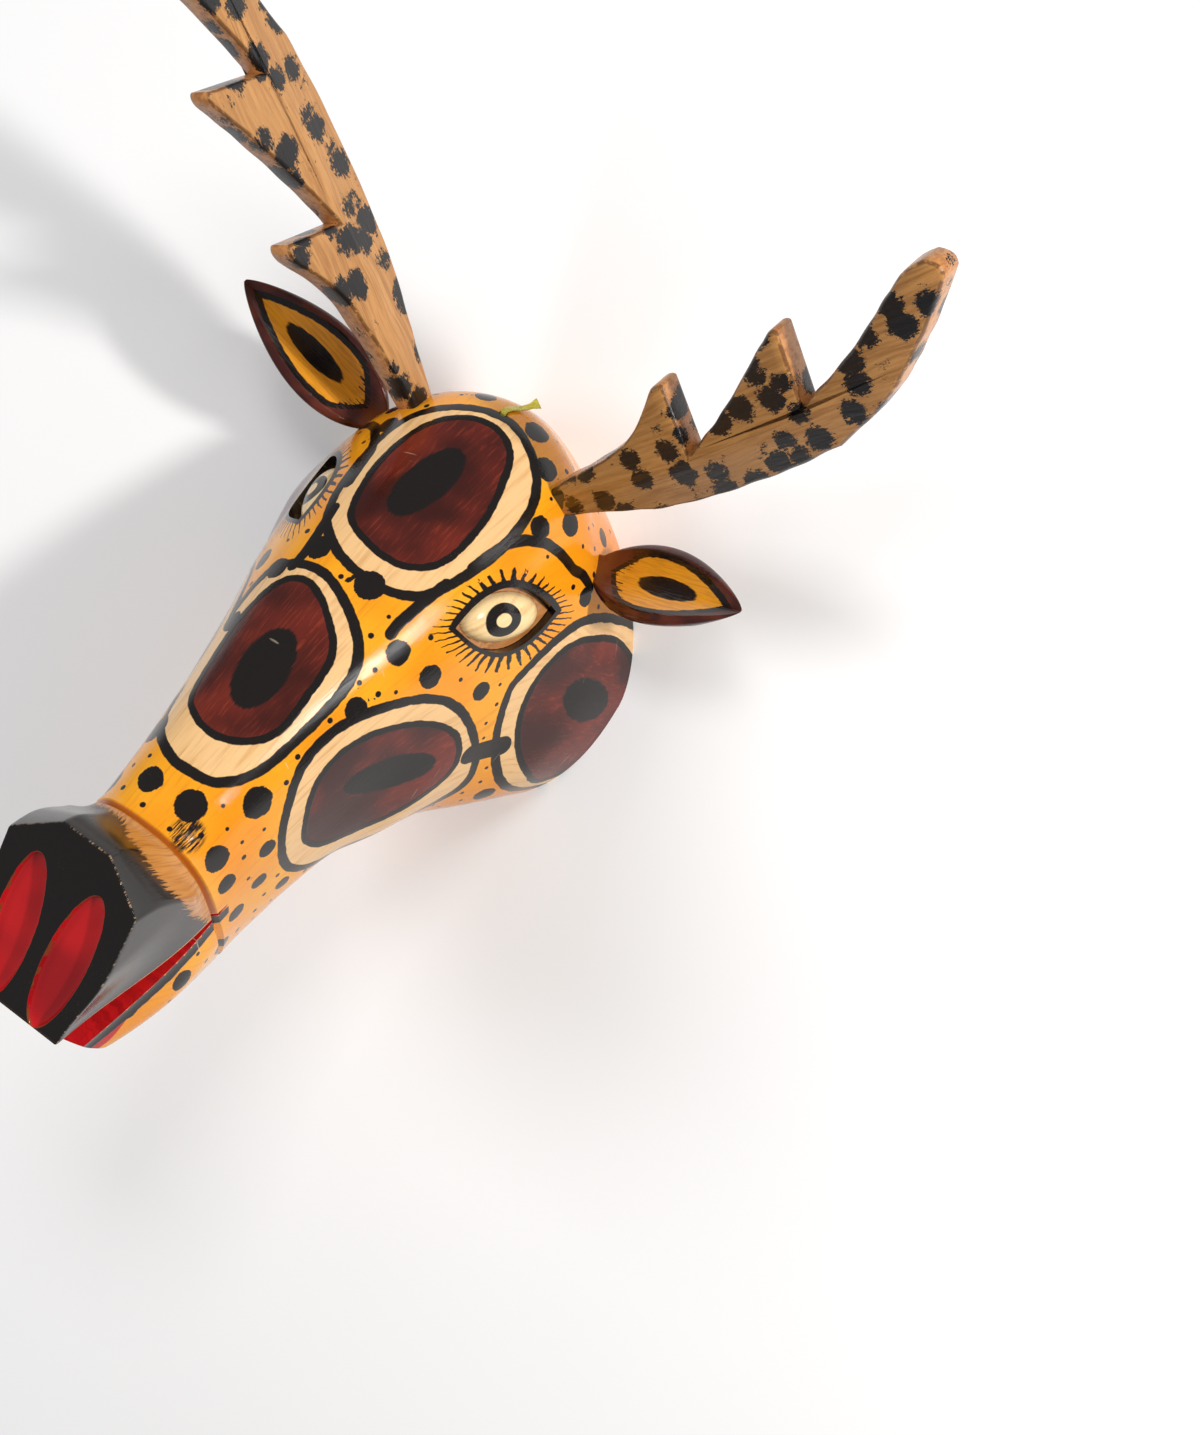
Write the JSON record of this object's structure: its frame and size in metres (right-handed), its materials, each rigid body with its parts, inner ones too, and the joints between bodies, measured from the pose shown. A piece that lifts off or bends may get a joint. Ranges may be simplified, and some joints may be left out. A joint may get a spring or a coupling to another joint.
{
  "type": "carved wooden deer mask",
  "caption": "Hollow carved wooden deer-head mask with open mouth, painted ovals, sawn antlers, leaf ears and a hanging strip.",
  "frame": {"origin": "middle of the part's length and width, in the plane of the flat rim it lies on", "axes": "+Z out of the rim plane, +Y from the throat to the crown, +X the deer's own left"},
  "size_m": [0.4096, 0.5298, 0.2851],
  "materials": {
    "painted_head": "orange-yellow stain with painted ovals, spots and lashes under glossy varnish",
    "antler_wood": "bare brown wood with black brush dabs under satin varnish",
    "ear_wood": "dark maroon paint with ochre field under glossy varnish",
    "strip_plastic": "thin translucent yellow plastic"
  },
  "bodies": {
    "root": {"mask": "painted_head", "left_antler": "antler_wood", "right_antler": "antler_wood", "left_ear": "ear_wood", "right_ear": "ear_wood", "hanging_strip": "strip_plastic"}
  },
  "joints": []
}
